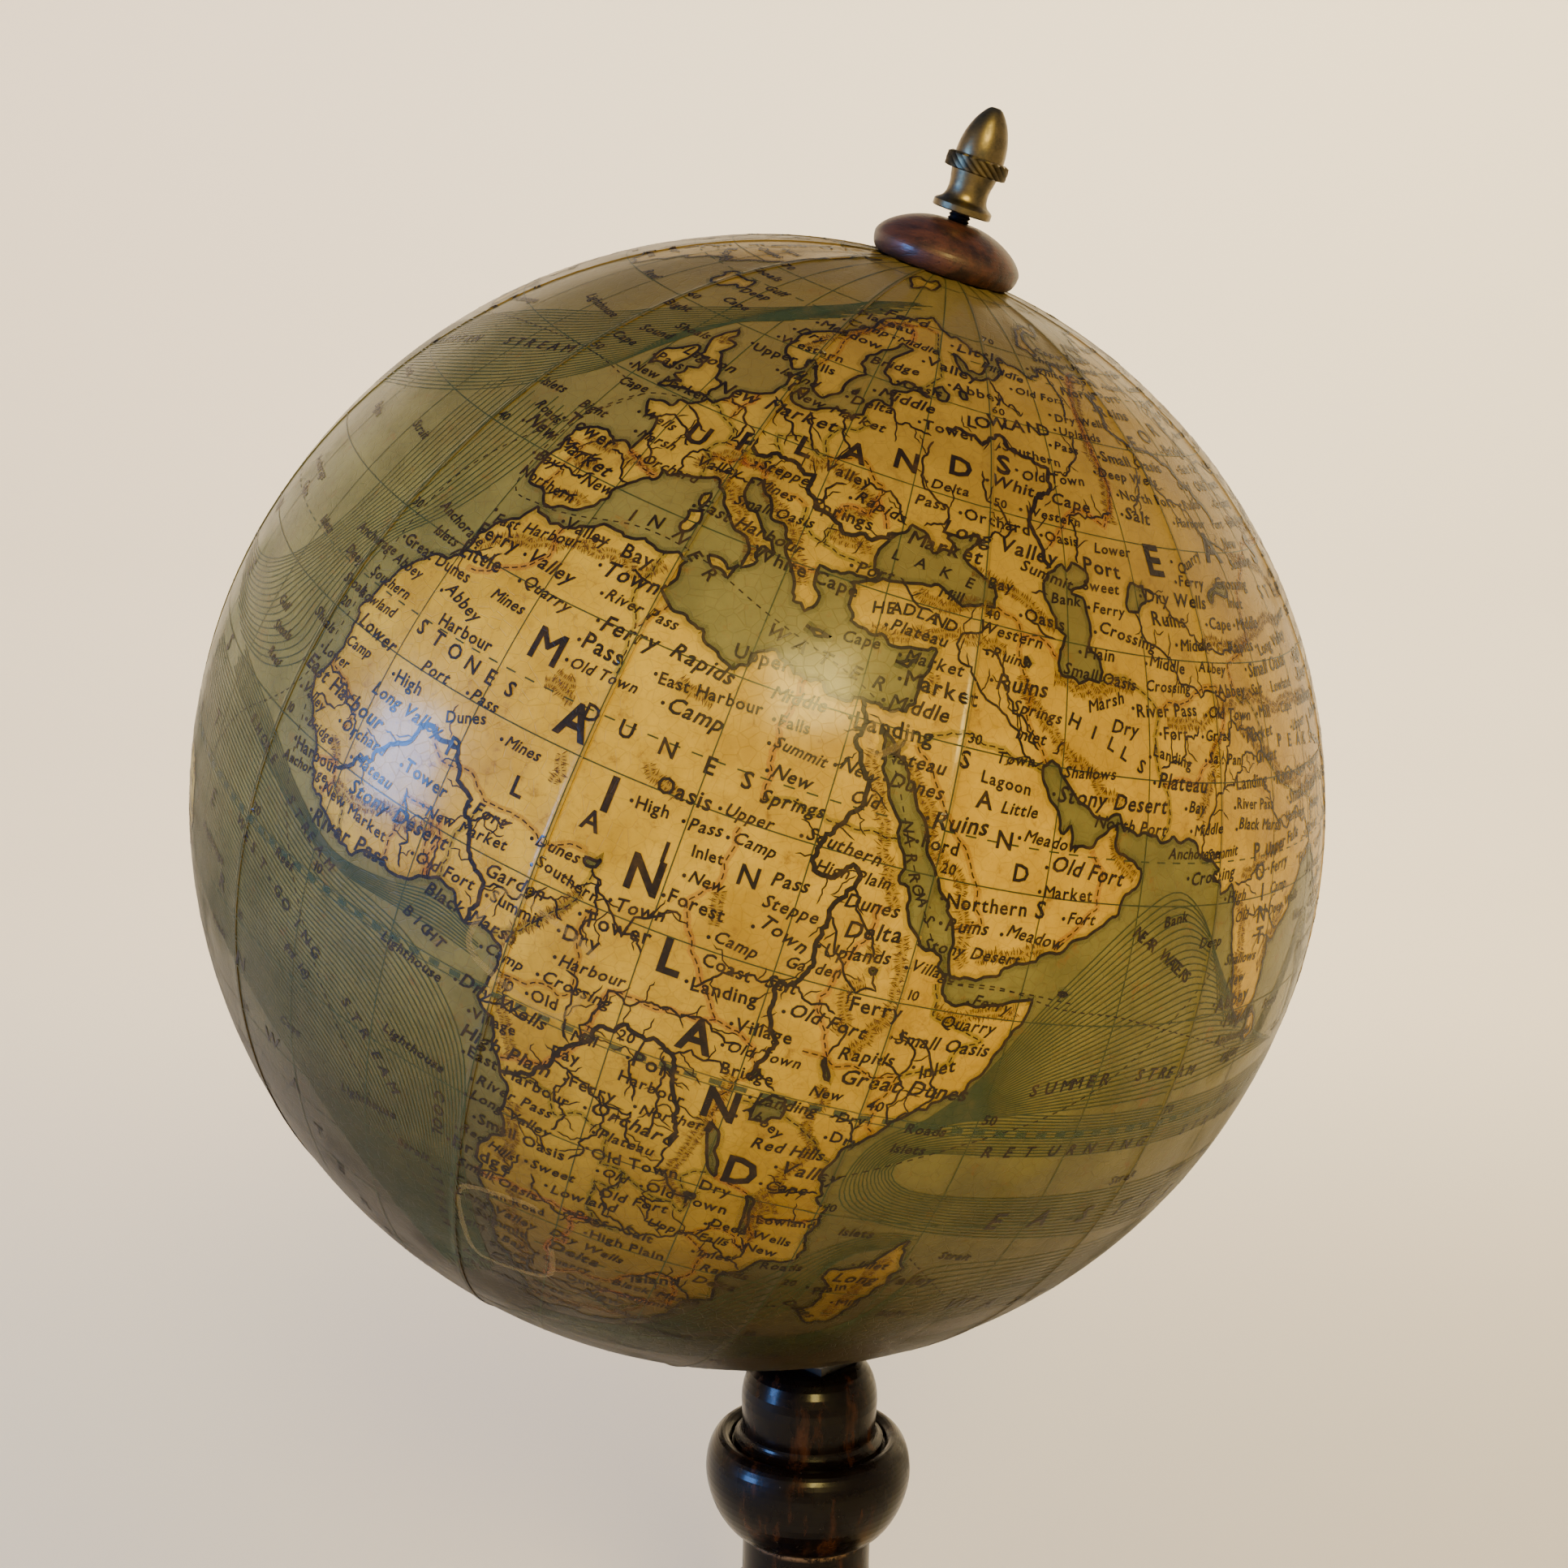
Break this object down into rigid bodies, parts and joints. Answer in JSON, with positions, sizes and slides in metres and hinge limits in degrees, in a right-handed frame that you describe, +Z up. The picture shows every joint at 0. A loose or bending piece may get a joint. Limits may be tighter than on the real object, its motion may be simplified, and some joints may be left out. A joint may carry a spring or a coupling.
{
  "type": "desktop globe on stand",
  "caption": "Table globe: a paper-covered ball on a leaning rod, with a wooden disc and brass acorn on top, carried by a curved arm on a turned column and round foot",
  "frame": {"origin": "on the column's axis, on the surface that the felt rests on", "axes": "+Z up along the column; the globe's axis leans 23.5 degrees from +Z towards +X, in the XZ plane"},
  "size_m": [0.32, 0.32, 0.55],
  "materials": {
    "green_baize": "matte",
    "ebonised_wood": "gloss",
    "black_lacquered_steel": "gloss",
    "steel": "satin",
    "leather": "matte",
    "pasteboard": "matte",
    "plain_paper": "matte",
    "limewood": "matte",
    "brass": "satin",
    "varnished_map": "gloss",
    "mahogany": "gloss",
    "aged_brass": "satin"
  },
  "bodies": {
    "stand": {"base_felt": "green_baize", "foot": "ebonised_wood", "shaft": "ebonised_wood", "knop": "ebonised_wood", "arm": "black_lacquered_steel", "tie_bolt": "steel", "tie_washer": "steel", "tie_nut": "steel", "axis_rod": "steel", "rod_washer": "steel", "rod_nut": "steel", "thrust_washer": "leather"},
    "ball": {"north_shell": "pasteboard", "south_shell": "pasteboard", "equator_strip": "plain_paper", "north_hub": "limewood", "south_hub": "limewood", "north_bush": "brass", "south_bush": "brass", "north_tacks": "steel", "south_tacks": "steel", "gore_01": "varnished_map", "gore_02": "varnished_map", "gore_03": "varnished_map", "gore_04": "varnished_map", "gore_05": "varnished_map", "gore_06": "varnished_map", "gore_07": "varnished_map", "gore_08": "varnished_map", "gore_09": "varnished_map", "gore_10": "varnished_map", "gore_11": "varnished_map", "gore_12": "varnished_map"},
    "disc": {"polar_disc": "mahogany"},
    "finial": {"acorn_finial": "aged_brass"}
  },
  "joints": [
    {"name": "ball_spin", "type": "hinge", "parent": "stand", "child": "ball", "pos_m": [-0.0255, 0, 0.365], "axis": [0.3987, 0, 0.9171], "continuous": true},
    {"name": "disc_spin", "type": "hinge", "parent": "stand", "child": "disc", "pos_m": [-0.0255, 0, 0.365], "axis": [0.3987, 0, 0.9171], "continuous": true},
    {"name": "finial_turn", "type": "hinge", "parent": "stand", "child": "finial", "pos_m": [-0.0255, 0, 0.365], "axis": [0.3987, 0, 0.9171], "continuous": true}
  ]
}
